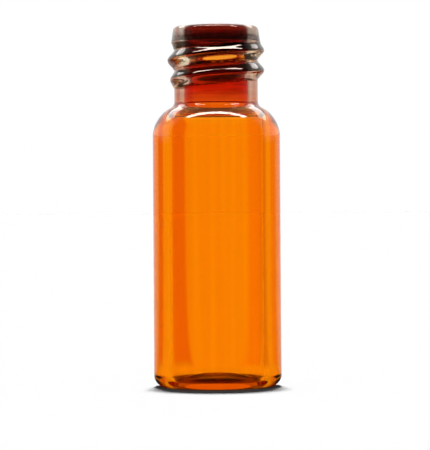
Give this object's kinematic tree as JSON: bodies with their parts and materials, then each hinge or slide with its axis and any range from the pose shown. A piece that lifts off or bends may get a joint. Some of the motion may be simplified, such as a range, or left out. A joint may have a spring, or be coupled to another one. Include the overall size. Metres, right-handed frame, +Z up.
{
  "type": "glass sample vial",
  "caption": "Small amber glass sample vial: straight round body, rounded shoulder, short screw-thread neck and open mouth, for holding a liquid sample.",
  "frame": {"origin": "middle of the base, on the plane of the base ring that the vial stands on", "axes": "+Z up along the vial's axis to the open mouth; -Y faces the viewer of the front view and +X is to the viewer's right"},
  "size_m": [0.0116, 0.0116, 0.0325],
  "materials": {
    "amber_glass": "polished"
  },
  "bodies": {
    "root": {"vial": "amber_glass"}
  },
  "joints": []
}
